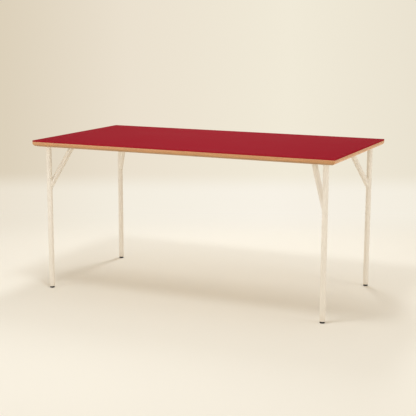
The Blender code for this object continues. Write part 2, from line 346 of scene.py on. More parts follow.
def useGroup(tree, group, inputs):
    node = tree.nodes.new("ShaderNodeGroup")
    node.node_tree = group
    for label, value in inputs.items():
        plug(tree, value, node.inputs[label])
    return node.outputs


def newMaterial(name, fixed):
    # an empty material with its shader; the sockets that stay the same all over are set here
    material = bpy.data.materials.new(name)
    material.use_nodes = True
    tree = material.node_tree
    shader = tree.nodes["Principled BSDF"]
    for label, value in fixed.items():
        shader.inputs[label].default_value = value
    place = tree.nodes.new("ShaderNodeTexCoord").outputs["Object"]
    return material, tree, shader.inputs, place


def bump(tree, shader, height, distance):
    node = addNode(tree, "ShaderNodeBump", {"Height": height, "Distance": distance})
    tree.links.new(node.outputs["Normal"], shader["Normal"])


# Shared surface effects


def makeMottleGroup():
    # a colour that drifts a little over the surface, broad and fine
    group, given, out = newGroup(
        "mottle",
        [("Vector", "Vector", None), ("Color", "Color", (0.5, 0.5, 0.5, 1)), ("Broad Scale", "Float", 4.0),
         ("Fine Scale", "Float", 600.0), ("Broad Amount", "Float", 0.03), ("Fine Amount", "Float", 0.05)],
        [("Color", "Color"), ("Broad", "Float"), ("Fine", "Float")],
    )
    broad = noise(group, given["Vector"], given["Broad Scale"], detail=3.0, roughness=0.55)
    fine = noise(group, given["Vector"], given["Fine Scale"], detail=3.0, roughness=0.6)
    broadShift = calc(group, "MULTIPLY", calc(group, "SUBTRACT", broad, 0.5), given["Broad Amount"])
    fineShift = calc(group, "MULTIPLY", calc(group, "SUBTRACT", fine, 0.5), given["Fine Amount"])
    level = calc(group, "ADD", 1.0, calc(group, "MULTIPLY", calc(group, "ADD", broadShift, fineShift), 2.0))
    group.links.new(shaded(group, given["Color"], level), out["Color"])
    group.links.new(broad, out["Broad"])
    group.links.new(fine, out["Fine"])
    return group


powderPeel = {"grainFiner": 4.0, "grainShare": 0.2}


def makePeelGroup(peeling):
    # the soft hills of sprayed and baked powder, with some finer grain, as a height
    group, given, out = newGroup(
        "peel", [("Vector", "Vector", None), ("Scale", "Float", 500.0)], [("Height", "Float")]
    )
    share = peeling["grainShare"]
    grainScale = calc(group, "MULTIPLY", given["Scale"], peeling["grainFiner"])
    hills = noise(group, given["Vector"], given["Scale"], detail=1.0, roughness=0.4)
    grains = noise(group, given["Vector"], grainScale)
    height = calc(group, "MULTIPLY_ADD", grains, share, calc(group, "MULTIPLY", hills, 1 - share))
    group.links.new(height, out["Height"])
    return group


scuffing = {"patchScale": 30.0, "threshold": 0.55, "shareReach": 0.4, "softness": 0.12}


def makeScuffGroup(scuffing):
    # sparse thin rubs in one direction, as a mask
    group, given, out = newGroup(
        "scuffs",
        [("Vector", "Vector", None), ("Scale", "Vector", (40.0, 400.0, 400.0)), ("Share", "Float", 0.3)],
        [("Mask", "Float")],
    )
    drawn = vectorCalc(group, "MULTIPLY", given["Vector"], given["Scale"])
    lines = noise(group, drawn, 1.0, detail=4.0, roughness=0.65)
    both = calc(group, "MULTIPLY", lines, noise(group, given["Vector"], scuffing["patchScale"]))
    lowered = calc(group, "MULTIPLY", given["Share"], scuffing["shareReach"])
    edge = calc(group, "SUBTRACT", scuffing["threshold"], lowered)
    full = calc(group, "ADD", edge, scuffing["softness"])
    group.links.new(mapRange(group, both, edge, full, 0.0, 1.0, smooth=True), out["Mask"])
    return group


mottle = makeMottleGroup()
peel = makePeelGroup(powderPeel)
scuffs = makeScuffGroup(scuffing)
print("shared surface effects made")


# Materials

# In each finish, broad and fine are the scale and the amount of the colour's drift,
# roughnessDrift is how far the roughness goes below and above its value, and
# markedRoughness is what full marks add to it.


def mottled(tree, place, finish):
    (broadScale, broadAmount), (fineScale, fineAmount) = finish["broad"], finish["fine"]
    return useGroup(tree, mottle, {
        "Vector": place, "Color": finish["color"], "Broad Scale": broadScale, "Fine Scale": fineScale,
        "Broad Amount": broadAmount, "Fine Amount": fineAmount,
    })


def rubbed(tree, place, finish):
    return useGroup(tree, scuffs, {"Vector": place, **finish["rubs"]})["Mask"]


def roughen(tree, shader, finish, drift, marks=None):
    below, above = finish["roughnessDrift"]
    value = fromNoise(tree, drift, finish["roughness"] - below, finish["roughness"] + above)
    if marks is not None:
        value = calc(tree, "MULTIPLY_ADD", marks, finish["markedRoughness"], value)
    tree.links.new(value, shader["Roughness"])


redFinish = {
    "color": linear(144, 28, 39),
    "broad": (5.0, 0.012),
    "fine": (900.0, 0.035),
    "specular": 0.012,
    "roughness": 0.8,
    "roughnessDrift": (0.04, 0.04),
    "rubs": {"Scale": (12.0, 260.0, 260.0), "Share": 0.18},
    "markedRoughness": -0.08,
    "grainScale": 1500.0,
    "grainHeight": 0.00002,
    "sidePaintedLight": 1.2,            # painted light: the sheet's sides are made a little lighter than its face, as if lit as brightly
    "sideToFace": (0.3, 0.8),  # how far up a surface looks where the side ends and the face begins
}


def makeRedFinish(finish):
    material, tree, shader, place = newMaterial("redSheet", {"Specular IOR Level": finish["specular"]})
    tone = mottled(tree, place, finish)
    # painted light: the sides and underside are lightened by this share, the face is left as it is
    edge = mapRange(tree, facingOf(tree)["Z"], *finish["sideToFace"], finish["sidePaintedLight"], 1.0, smooth=True)
    tree.links.new(shaded(tree, tone["Color"], edge), shader["Base Color"])
    roughen(tree, shader, finish, tone["Broad"], rubbed(tree, place, finish))
    grain = noise(tree, place, finish["grainScale"], detail=3.0, roughness=0.6)
    bump(tree, shader, grain, finish["grainHeight"])
    return material


plyFinish = {
    "plies": 15,
    "wander": 0.05,                  # how far a ply drifts up and down, in plies
    "wanderScale": (3.0, 3.0, 0.0),
    "long": linear(223, 171, 118),   # a ply seen along its grain
    "end": linear(190, 129, 78),     # a ply seen across its grain
    "figure": 0.16,                  # how far the grain's tone swings
    "figureScale": 170.0,
    "figureDraw": 0.03,              # by which the figure is drawn out along the grain
    "plyShift": (3.7, 5.3, 1.0),     # by which it moves on from ply to ply
    "poreScale": 1400.0,
    "poreSpan": (0.35, 0.65),
    "poreShade": (0.93, 1.05),
    "poreHeight": 0.00006,
    "glue": linear(104, 62, 36),
    "glueShare": 0.10,               # of a ply's thickness
    "glueSoftness": 0.5,
    "glueBreakScale": 60.0,
    "glueBreakSpan": (0.35, 0.6),
    "glueFaintest": 0.55,
    "outerPly": 0.3,                 # no glue line this near the outer faces, in plies
    "undercutFrom": (-0.25, -0.85),  # how far down it looks where the undercut starts and is full
    "undercutPaintedShade": 0.66,           # painted shade: the long sides' undercut is darkened, down to this share, as it faces down away from the light
    "undercutPaintedLight": 1.26,            # painted light: the short sides' undercut is made paler, up to this share
    # painted light: the short sides are made a little paler than the long ones
    "shortSidePaintedLight": 1.06,
    "cornerBlend": 0.05,             # how softly a long side turns into a short one
    "specular": 0.5,
    "roughness": 0.34,
    "roughnessDrift": (0.06, 0.08),
}


def makePlyFinish(finish, bottom, top):
    material, tree, shader, place = newMaterial("birchPly", {"Specular IOR Level": finish["specular"]})
    facing = facingOf(tree)
    count = finish["plies"]
    drift = noise(tree, stretched(tree, place, finish["wanderScale"]), 1.0)
    wander = fromNoise(tree, drift, -finish["wander"], finish["wander"])
    climb = mapRange(tree, axesOf(tree, place)["Z"], bottom, top, 0.0, float(count))
    level = calc(tree, "ADD", climb, wander)
    number = calc(tree, "MAXIMUM", calc(tree, "FLOOR", level), 0.0)
    within = calc(tree, "SUBTRACT", level, number)
    crossPly = calc(tree, "MODULO", number, 2.0)  # 0 where the grain runs along X, 1 along Y
    shift = vectorCalc(tree, "MULTIPLY", number, finish["plyShift"])

    def grainDrawn(scale):
        drawn = vectorCalc(tree, "ADD", stretched(tree, place, scale), shift)
        return noise(tree, drawn, finish["figureScale"], detail=4.0, roughness=0.6)

    draw, swing = finish["figureDraw"], finish["figure"]
    figure = between(tree, crossPly, grainDrawn((draw, 1.0, 1.0)), grainDrawn((1.0, draw, 1.0)))
    endX = calc(tree, "MULTIPLY", facing["X"], facing["X"])
    endY = calc(tree, "MULTIPLY", facing["Y"], facing["Y"])
    wood = mixColors(tree, between(tree, crossPly, endX, endY), finish["long"], finish["end"])

    pores = noise(tree, place, finish["poreScale"], roughness=0.7)
    dots = mapRange(tree, pores, *finish["poreSpan"], *finish["poreShade"])
    grainShade = calc(tree, "MULTIPLY", fromNoise(tree, figure, 1 - swing, 1 + swing), dots)
    # painted light and shade, as light falls on each: short sides paler, the long sides' undercut darker,
    # the short sides' undercut paler
    blend = finish["cornerBlend"]
    onShort = mapRange(tree, calc(tree, "SUBTRACT", endX, endY), -blend, blend, 0.0, 1.0, smooth=True)
    paintedSideTone = between(tree, onShort, 1.0, finish["shortSidePaintedLight"])
    paintedUndercutTone = between(tree, onShort, finish["undercutPaintedShade"], finish["undercutPaintedLight"])
    facingDown = mapRange(tree, facing["Z"], *finish["undercutFrom"], 0.0, 1.0, smooth=True)
    wood = shaded(tree, wood, calc(tree, "MULTIPLY", grainShade, between(tree, facingDown, paintedSideTone, paintedUndercutTone)))

    half, soft, outer = finish["glueShare"] / 2, finish["glueSoftness"], finish["outerPly"]
    fromLine = calc(tree, "MINIMUM", within, calc(tree, "SUBTRACT", 1.0, within))
    line = mapRange(tree, fromLine, half * (1 - soft), half * (1 + soft), 1.0, 0.0, smooth=True)
    patches = noise(tree, place, finish["glueBreakScale"])
    broken = mapRange(tree, patches, *finish["glueBreakSpan"], finish["glueFaintest"], 1.0)
    aboveFirst = calc(tree, "GREATER_THAN", level, outer)
    inside = calc(tree, "MULTIPLY", aboveFirst, calc(tree, "LESS_THAN", level, count - outer))
    glue = calc(tree, "MULTIPLY", calc(tree, "MULTIPLY", line, broken), inside)
    tree.links.new(mixColors(tree, glue, wood, finish["glue"]), shader["Base Color"])
    roughen(tree, shader, finish, figure)
    relief = calc(tree, "SUBTRACT", calc(tree, "MULTIPLY", figure, pores), glue)
    bump(tree, shader, relief, finish["poreHeight"])
    return material


backingFinish = {
    "color": linear(200, 181, 153),
    "broad": (9.0, 0.05),
    "fine": (500.0, 0.06),
    "toneDraw": (0.25, 1.0, 1.0),   # tone and flecks are drawn out along the sheet
    "fleck": linear(154, 128, 98),
    "fleckDraw": (0.35, 1.0, 1.0),
    "fleckScale": 260.0,
    "fleckSize": (0.10, 0.20),
    "fleckStrength": 0.16,
    "specular": 0.3,
    "roughness": 0.6,
    "roughnessDrift": (0.05, 0.08),
    "relief": 0.00003,
}


def makeBackingFinish(finish):
    material, tree, shader, place = newMaterial("backingPaper", {"Specular IOR Level": finish["specular"]})
    tone = mottled(tree, stretched(tree, place, finish["toneDraw"]), finish)
    fibres = addNode(tree, "ShaderNodeTexVoronoi", {
        "Vector": stretched(tree, place, finish["fleckDraw"]), "Scale": finish["fleckScale"],
    })
    flecked = mapRange(
        tree, fibres.outputs["Distance"], *finish["fleckSize"], finish["fleckStrength"], 0.0, smooth=True
    )
    tree.links.new(mixColors(tree, flecked, tone["Color"], finish["fleck"]), shader["Base Color"])
    roughen(tree, shader, finish, tone["Fine"])
    bump(tree, shader, tone["Fine"], finish["relief"])
    return material


creamFinish = {
    "color": linear(236, 228, 215),
    "broad": (7.0, 0.008),
    "fine": (700.0, 0.008),
    "grime": linear(196, 176, 148),
    "grimeTop": 0.05,        # height above the floor up to which some dust sticks
    "grimeStrength": 0.22,
    "grimeScale": 60.0,
    "grimeFaintest": 0.6,
    "rubs": {"Scale": (420.0, 420.0, 60.0), "Share": 0.25},
    "rubStrength": 0.05,
    "specular": 0.4,
    "roughness": 0.40,
    "roughnessDrift": (0.03, 0.04),
    "markedRoughness": 0.25,
    "peelScale": 450.0,
    "peelHeight": 0.00002,
}


def makeCreamFinish(finish):
    material, tree, shader, place = newMaterial("creamCoat", {"Specular IOR Level": finish["specular"]})
    tone = mottled(tree, place, finish)
    height = axesOf(tree, place)["Z"]
    low = mapRange(tree, height, 0.0, finish["grimeTop"], finish["grimeStrength"], 0.0, smooth=True)
    patches = noise(tree, place, finish["grimeScale"], detail=3.0)
    dirt = calc(tree, "MULTIPLY", low, fromNoise(tree, patches, finish["grimeFaintest"], 1.0))
    rubs = calc(tree, "MULTIPLY", rubbed(tree, place, finish), finish["rubStrength"])
    marks = calc(tree, "MAXIMUM", dirt, rubs)
    tree.links.new(mixColors(tree, marks, tone["Color"], finish["grime"]), shader["Base Color"])
    roughen(tree, shader, finish, tone["Broad"], marks)
    hills = useGroup(tree, peel, {"Vector": place, "Scale": finish["peelScale"]})
    bump(tree, shader, hills["Height"], finish["peelHeight"])
    return material


metalFinish = {
    "broad": (160.0, 0.10),
    "fine": (2200.0, 0.05),
    "rubs": {"Scale": (900.0, 900.0, 150.0), "Share": 0.6},
    "rubStrength": 0.5,
    "metallic": 1.0,
    "roughnessDrift": (0.06, 0.08),
    "markedRoughness": -0.08,
    "relief": 0.00002,
}
metals = {
    "brightZinc": {"color": (0.62, 0.63, 0.62, 1), "rub": (0.80, 0.80, 0.78, 1), "roughness": 0.34},
    "insertZinc": {"color": (0.66, 0.58, 0.40, 1), "rub": (0.80, 0.76, 0.62, 1), "roughness": 0.36},
    "bushSteel": {"color": (0.48, 0.47, 0.45, 1), "rub": (0.66, 0.65, 0.62, 1), "roughness": 0.42},
    "blackSteel": {"color": (0.045, 0.045, 0.048, 1), "rub": (0.16, 0.15, 0.14, 1), "roughness": 0.42},
}


def makeMetalFinish(name):
    # plated or blackened steel, with drifting tone and fine rubs
    finish = {**metalFinish, **metals[name]}
    material, tree, shader, place = newMaterial(name, {"Metallic": finish["metallic"]})
    tone = mottled(tree, place, finish)
    rubs = rubbed(tree, place, finish)
    shine = calc(tree, "MULTIPLY", rubs, finish["rubStrength"])
    tree.links.new(mixColors(tree, shine, tone["Color"], finish["rub"]), shader["Base Color"])
    roughen(tree, shader, finish, tone["Fine"], rubs)
    bump(tree, shader, tone["Fine"], finish["relief"])
    return material


nylonFinish = {
    "color": linear(32, 31, 32),
    "broad": (120.0, 0.08),
    "fine": (2600.0, 0.12),
    "dust": linear(120, 110, 98),
    "dustTop": 0.0016,
    "dustStrength": 0.5,
    "dustSpan": (0.35, 0.65),
    "dustFaintest": 0.2,
    "specular": 0.4,
    "roughness": 0.5,
    "roughnessDrift": (0.05, 0.08),
    "markedRoughness": 0.3,
    "relief": 0.00004,
}


def makeNylonFinish(finish):
    material, tree, shader, place = newMaterial("blackNylon", {"Specular IOR Level": finish["specular"]})
    tone = mottled(tree, place, finish)
    height = axesOf(tree, place)["Z"]
    low = mapRange(tree, height, 0.0, finish["dustTop"], finish["dustStrength"], 0.0, smooth=True)
    patches = mapRange(tree, tone["Fine"], *finish["dustSpan"], finish["dustFaintest"], 1.0)
    dust = calc(tree, "MULTIPLY", low, patches)
    tree.links.new(mixColors(tree, dust, tone["Color"], finish["dust"]), shader["Base Color"])
    roughen(tree, shader, finish, tone["Fine"], dust)
    bump(tree, shader, tone["Fine"], finish["relief"])
    return material


coreLow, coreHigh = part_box("top_core")
surfaceLow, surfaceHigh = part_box("top_surface")
redSheet = makeRedFinish(redFinish)
birchPly = makePlyFinish(plyFinish, coreLow.z, surfaceLow.z)
backingPaper = makeBackingFinish(backingFinish)
creamCoat = makeCreamFinish(creamFinish)
brightZinc = makeMetalFinish("brightZinc")
insertZinc = makeMetalFinish("insertZinc")
bushSteel = makeMetalFinish("bushSteel")
blackSteel = makeMetalFinish("blackSteel")
blackNylon = makeNylonFinish(nylonFinish)
print("materials made")


# Tabletop


def slab(low, high):
    bm = bmesh.new()
    place = Matrix.Translation((low + high) / 2) @ Matrix.Diagonal((*(high - low), 1))
    bmesh.ops.create_cube(bm, size=1, matrix=place)
    return bm


topSheet = {"edgeRadius": 0.0006, "edgeSteps": 4}


def makeTopSheet(sheet):
    bm = slab(surfaceLow, surfaceHigh)
    roundEdges(bm, bm.edges[:], sheet["edgeRadius"], sheet["edgeSteps"])
    addPiece("redTopSheet", meshFrom(bm, "redTopSheet"), redSheet, nodes=["top_surface"])


core = {"underRadius": 0.016, "steps": 20, "seam": 0.00004}
screwPlaces = [(0.045, 0.022), (0.045, -0.022), (0.124, 0.036), (0.124, -0.036)]  # in a leg unit's frame
insert = {
    "radius": 0.00475, "length": 0.013, "innerRadius": 0.0033, "pitch": 0.0022, "depth": 0.0005,
    "sides": 40, "tipChamfer": 0.001,
    "holeRadius": 0.005025, "holeSpare": 0.0003,  # the hole goes this much deeper than the insert
}


def makeCore(core):
    bm = slab(coreLow, Vector((coreHigh.x, coreHigh.y, surfaceLow.z - core["seam"])))
    lower = [edge for edge in bm.edges if all(vert.co.z < coreLow.z + weldGap for vert in edge.verts)]
    roundEdges(bm, lower, core["underRadius"], core["steps"])
    drill = bmesh.new()
    holeTop = coreLow.z + insert["length"] + insert["holeSpare"]
    for corner in corners:
        for reach, spread in screwPlaces:
            place = unitPlace(corner) @ Matrix.Translation((reach, spread, 0))
            addDrum(drill, insert["holeRadius"], coreLow.z - cutOverrun, holeTop, insert["sides"], place)
    mesh = meshFrom(carve(bm, [drill]), "plywoodCore", sharpAngle=30)
    addPiece("plywoodCore", mesh, birchPly, nodes=["top_core"])


makeTopSheet(topSheet)
makeCore(core)
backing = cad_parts["top_backing"]
backing.data.materials.clear()
backing.data.materials.append(backingPaper)
print("tabletop made")


# Leg units, worked once in the unit's own frame and then set at each corner

legLow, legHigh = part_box("leg_tube_front_left")
plateLow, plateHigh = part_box("mount_plate_front_left")

legTube = {"radius": 0.0127, "wall": 0.002, "sides": 96, "endRadius": 0.0004, "endSteps": 3}
braceTube = {
    "radius": 0.0125, "wall": 0.0015, "sides": 96, "reach": 0.116, "jointHeight": 0.495, "copeGap": 0.0001,
}
mountPlate = {
    "noseMargin": 0.009, "lugRadius": 0.013, "sides": 72, "edgeRadius": 0.0007, "edgeSteps": 3,
    "flatAngle": 1, "foldAngle": 60,  # degrees: faces that are one, and edges that are rounded
    "holeRadius": 0.0035, "holeSides": 40,
}
ringBead = {"offset": 0.0004, "points": 192, "pointsPerRipple": 6, "ripple": 0.07, "roundness": 4}
beads = {
    "leg": {"radius": 0.0021, **ringBead},
    "brace": {"radius": 0.0018, **ringBead},
    "saddle": {
        "radius": 0.0021, "offsets": (-0.0009, 0.003), "samples": 720, "points": 384, "easing": 24,
        "pointsPerRipple": 6, "ripple": 0.05, "roundness": 3,
    },
}


def tubeBlank(tube, bottom, top):
    outer, inner = tube["radius"], tube["radius"] - tube["wall"]
    return turned([(outer, top), (outer, bottom), (inner, bottom), (inner, top)], tube["sides"], closed=True)


def legMesh(tube):
    bm = tubeBlank(tube, legLow.z, plateLow.z)
    rims = [ringEdges(bm, radius, legLow.z) for radius in (tube["radius"], tube["radius"] - tube["wall"])]
    roundEdges(bm, sum(rims, []), tube["endRadius"], tube["endSteps"])
    return meshFrom(bm, "legTube")


def braceLean(tube):
    # angle of the brace from the upright
    return atan2(tube["reach"], legHigh.z - tube["jointHeight"])


def braceMesh(tube):
    # coped round the leg, and taken off level under the plate
    diameter = 2 * tube["radius"]
    bm = tubeBlank(tube, 0, hypot(tube["reach"], legHigh.z - tube["jointHeight"]) + diameter)
    lean = Matrix.Translation((0, 0, tube["jointHeight"])) @ Matrix.Rotation(braceLean(tube), 4, "Y")
    bmesh.ops.transform(bm, matrix=lean, verts=bm.verts)
    cope = drum(legTube["radius"] + tube["copeGap"], 0, plateHigh.z, legTube["sides"])
    level = drum(tube["reach"] + 3 * diameter, plateLow.z, plateHigh.z + 2 * diameter, tube["sides"])
    return meshFrom(carve(bm, [cope, level]), "braceTube")


def plateMesh(plate):
    # the hull of a disc round the leg and one round each far screw, eased and drilled
    discs = [(0, 0, legTube["radius"] + plate["noseMargin"])]
    discs += [(reach, spread, plate["lugRadius"]) for reach, spread in screwPlaces[2:]]
    bm = bmesh.new()
    for reach, spread, radius in discs:
        addDrum(bm, radius, plateLow.z, plateHigh.z, plate["sides"], Matrix.Translation((reach, spread, 0)))
    hull = bmesh.ops.convex_hull(bm, input=bm.verts)
    bmesh.ops.delete(bm, geom=[part for part in hull["geom_interior"] if part.is_valid], context="VERTS")
    bmesh.ops.dissolve_limit(bm, angle_limit=radians(plate["flatAngle"]), verts=bm.verts, edges=bm.edges)
    roundEdges(bm, foldedEdges(bm, plate["foldAngle"]), plate["edgeRadius"], plate["edgeSteps"])
    drills = bmesh.new()
    low, high = plateLow.z - cutOverrun, plateHigh.z + cutOverrun
    for reach, spread in screwPlaces:
        place = Matrix.Translation((reach, spread, 0))
        addDrum(drills, plate["holeRadius"], low, high, plate["holeSides"], place)
    return meshFrom(carve(bm, [drills]), "mountPlate", sharpAngle=30)


def angles(count):
    return [tau * index / count for index in range(count)]


def ringBeadPath(bead, centre, long, short):
    # round a tube that meets the plate in a circle or an ellipse
    height = plateLow.z - bead["offset"]
    return [(centre + long * cos(turn), short * sin(turn), height) for turn in angles(bead["points"])]


def legBeadPath(bead):
    radius = legTube["radius"] + bead["offset"]
    return ringBeadPath(bead, 0, radius, radius)


def braceBeadPath(bead):
    long = braceTube["radius"] / cos(braceLean(braceTube)) + bead["offset"]
    return ringBeadPath(bead, braceTube["reach"], long, braceTube["radius"] + bead["offset"])


def evenly(path, count):
    # points at even steps along a closed path
    loop = path + [path[0]]
    step = sum((after - before).length for before, after in zip(loop, loop[1:])) / count
    points, gone = [], 0.0
    for before, after in zip(loop, loop[1:]):
        length = (after - before).length
        while len(points) < count and len(points) * step <= gone + length:
            points.append(before.lerp(after, (len(points) * step - gone) / length))
        gone += length
    return points


def eased(path, passes):
    # a closed path with its corners drawn round
    for _ in range(passes):
        after = path[1:] + path[:1]
        path = [(path[index - 1] + 2 * point + after[index]) / 4 for index, point in enumerate(path)]
    return path


def saddleBeadPath(bead):
    # the curve in which the brace's skin meets the leg's: the bead is sunk where they
    # run into each other and fills the groove where they close up
    lean = braceLean(braceTube)
    legRadius, radius = legTube["radius"], braceTube["radius"]
    start, rise = Vector((0, 0, braceTube["jointHeight"])), Vector((sin(lean), 0, cos(lean)))
    flush, groove = bead["offsets"]
    path = []
    for turn in angles(bead["samples"]):
        side = Vector((cos(turn) * cos(lean), sin(turn), -cos(turn) * sin(lean)))
        along = (sqrt(legRadius ** 2 - (radius * side.y) ** 2) - radius * side.x) / sin(lean)
        seam = rise * along + side * radius + start
        skin = Vector((seam.x, seam.y, 0)).normalized()
        offset = flush + (groove - flush) * (1 - skin.dot(side)) / 2
        path.append(seam + (skin + side).normalized() * offset)
    return [tuple(point) for point in eased(evenly(path, bead["points"]), bead["easing"])]


unitShapes = {
    "legTube": (legMesh(legTube), "leg_tube"),
    "braceTube": (braceMesh(braceTube), "brace_tube"),
    "mountPlate": (plateMesh(mountPlate), "mount_plate"),
}
for label, beadPath in (("leg", legBeadPath), ("brace", braceBeadPath), ("saddle", saddleBeadPath)):
    unitShapes[f"{label}Weld"] = (weldBead(f"{label}Weld", beadPath(beads[label]), beads[label]), None)
for corner in corners:
    for label, (shape, node) in unitShapes.items():
        nodes = [f"{node}_{corner}"] if node else ()
        addPiece(f"{label}_{corner}", moved(shape, unitPlace(corner)), creamCoat, nodes=nodes)
print("leg units made")


# Screws and threaded inserts

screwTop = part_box("plate_screw_front_left_1")[1].z
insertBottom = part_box("threaded_insert_front_left_1")[0].z

screw = {
    "radius": 0.003, "pitch": 0.001, "depth": 0.00055, "sides": 28, "tipChamfer": 0.0008,
    "sunk": 0.0005, "trim": 0.0001,  # how far the shank starts inside the head, and what comes off it there
    "headRadius": 0.00525, "headHeight": 0.0033, "rimHeight": 0.0008, "domeSteps": 8, "headSides": 48,
    "seatRadius": 0.0002, "seatSteps": 2, "socketFlats": 0.004, "socketDepth": 0.0018, "socketLand": 0.0007,
}


def screwMesh(screw):
    # button head with its seat at height zero, threaded shank upwards
    rod = trimmedRod(screw, -screw["sunk"], screwTop - plateLow.z, screw["trim"], screw["sides"] * 2)
    head, crown = screw["headRadius"], hexRadius(screw["socketFlats"]) + screw["socketLand"]
    low, rise = -screw["headHeight"], screw["headHeight"] - screw["rimHeight"]
    turns = [pi / 2 * step / screw["domeSteps"] for step in range(screw["domeSteps"] + 1)]
    dome = [(crown + (head - crown) * cos(turn), -screw["rimHeight"] - rise * sin(turn)) for turn in turns]
    headShape = turned([(0, 0), (head, 0)] + dome + [(0, low)], screw["headSides"])
    roundEdges(headShape, ringEdges(headShape, head, 0), screw["seatRadius"], screw["seatSteps"])
    socket = hexPrism(screw["socketFlats"], low - cutOverrun, low + screw["socketDepth"])
    headShape = carve(headShape, [socket])
    return meshFrom(carve(headShape, [rod], "UNION"), "plateScrew")


def insertMesh(insert):
    # open sleeve with a coarse outer thread, its lower end at height zero
    bm = trimmedRod(insert, 0, insert["length"], 0, insert["sides"])
    bore = drum(insert["innerRadius"], -cutOverrun, insert["length"] + cutOverrun, insert["sides"])
    return meshFrom(carve(bm, [bore]), "threadedInsert")


screwShape = screwMesh(screw)
insertShape = insertMesh(insert)
screwTurn, cornerTurn = radians(37), radians(61)  # no two sockets stand alike
fixings = [
    ("plateScrew", "plate_screw", screwShape, plateLow.z, brightZinc, "zinc_screw"),
    ("threadedInsert", "threaded_insert", insertShape, insertBottom, insertZinc, "zinc_insert"),
]
for order, corner in enumerate(corners):
    for number, (reach, spread) in enumerate(screwPlaces, start=1):
        turn = Matrix.Rotation(number * screwTurn + order * cornerTurn, 4, "Z")
        for label, node, shape, height, material, slotName in fixings:
            place = unitPlace(corner) @ Matrix.Translation((reach, spread, height)) @ turn
            addPiece(
                f"{label}_{corner}_{number}", moved(shape, place), material,
                nodes=[f"{node}_{corner}_{number}"],
            )
print("screws and inserts made")


# Levelling feet

bushLow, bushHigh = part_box("foot_bush_front_left")
stemLow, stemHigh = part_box("foot_stem_front_left")
padLow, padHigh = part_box("foot_pad_front_left")

footBush = {"outerRadius": 0.0104, "innerRadius": 0.0043, "chamfer": 0.0008, "sides": 72}
footStem = {
    "radius": 0.004, "pitch": 0.00125, "depth": 0.0007, "sides": 40, "tipChamfer": 0.001,
    "sunk": 0.0006, "trim": 0.0001,  # how far rod and neck reach into the hexagon, what comes off the rod
    "neckRadius": 0.0037, "collarRadius": 0.006, "collarHeight": 0.0018, "collarEase": 0.0003,
    "collarSteps": 3, "hexFlats": 0.013, "hexHeight": 0.0024, "hexBottom": 0.0053,
    "hexChamfer": 0.0007, "hexSlack": 0.0001,
}
footPad = {
    "radius": 0.011, "sole": 0.0013, "pocketRadius": 0.0063, "pocketTop": 0.0037, "mouthRadius": 0.0043,
    "edgeRadius": 0.0006, "shoulderRadius": 0.0015, "steps": 6, "mouthEase": 0.0003, "mouthSteps": 2,
    "sides": 96,
}


def bushMesh(bush):
    outer, inner, chamfer = bush["outerRadius"], bush["innerRadius"], bush["chamfer"]
    profile = [
        (outer - chamfer, bushHigh.z), (outer, bushHigh.z - chamfer), (outer, bushLow.z),
        (inner + chamfer, bushLow.z), (inner, bushLow.z + chamfer), (inner, bushHigh.z),
    ]
    return meshFrom(turned(profile, bush["sides"], closed=True), "footBush", sharpAngle=25)


def stemMesh(stem):
    # collar and neck turned, spanner hexagon chamfered, thread spun, all joined
    hexLow, hexTop = stem["hexBottom"], stem["hexBottom"] + stem["hexHeight"]
    rod = trimmedRod(stem, hexTop - stem["sunk"], stemHigh.z, stem["trim"], stem["sides"] * 2)
    low, collarTop, neckTop = stemLow.z, stemLow.z + stem["collarHeight"], hexLow + stem["sunk"]
    neck, collar = stem["neckRadius"], stem["collarRadius"]
    profile = [
        (0, neckTop), (neck, neckTop), (neck, collarTop), (collar, collarTop), (collar, low), (0, low),
    ]
    foot = turned(profile, stem["sides"])
    rims = ringEdges(foot, collar, collarTop) + ringEdges(foot, collar, low)
    roundEdges(foot, rims, stem["collarEase"], stem["collarSteps"])
    wide, cut = hexRadius(stem["hexFlats"]) + stem["hexSlack"], stem["hexChamfer"]
    chamfers = [
        (0, hexTop), (wide - 2 * cut, hexTop), (wide, hexTop - cut),
        (wide, hexLow + cut), (wide - 2 * cut, hexLow), (0, hexLow),
    ]
    hexagon = hexPrism(stem["hexFlats"], hexLow, hexTop)
    hexagon = carve(hexagon, [turned(chamfers, stem["sides"] * 2)], "INTERSECT")
    return meshFrom(carve(hexagon, [rod, foot], "UNION"), "footStem")


def padMesh(pad):
    outer, pocket, mouth = pad["radius"], pad["pocketRadius"], pad["mouthRadius"]
    low, top = padLow.z, padHigh.z
    profile = [
        (0, pad["sole"]), (pocket, pad["sole"]), (pocket, pad["pocketTop"]), (mouth, pad["pocketTop"]),
        (mouth, top), (outer, top), (outer, low), (0, low),
    ]
    bm = turned(profile, pad["sides"])
    roundEdges(bm, ringEdges(bm, outer, top), pad["shoulderRadius"], pad["steps"])
    roundEdges(bm, ringEdges(bm, outer, low), pad["edgeRadius"], pad["steps"])
    roundEdges(bm, ringEdges(bm, mouth, top), pad["mouthEase"], pad["mouthSteps"])
    return meshFrom(bm, "footPad")


footShapes = {
    "footBush": (bushMesh(footBush), "foot_bush", bushSteel, "bush_steel", tableBody),
    "footStem": (stemMesh(footStem), "foot_stem", blackSteel, "black_steel", "{}_foot_stem"),
    "footPad": (padMesh(footPad), "foot_pad", blackNylon, "black_nylon", "{}_foot_pad"),
}
for corner in corners:
    for label, (shape, node, material, slotName, body) in footShapes.items():
        addPiece(
            f"{label}_{corner}", moved(shape, unitPlace(corner)), material,
            body.format(corner), [f"{node}_{corner}"],
        )
print("levelling feet made")


# Floor, backdrop and light

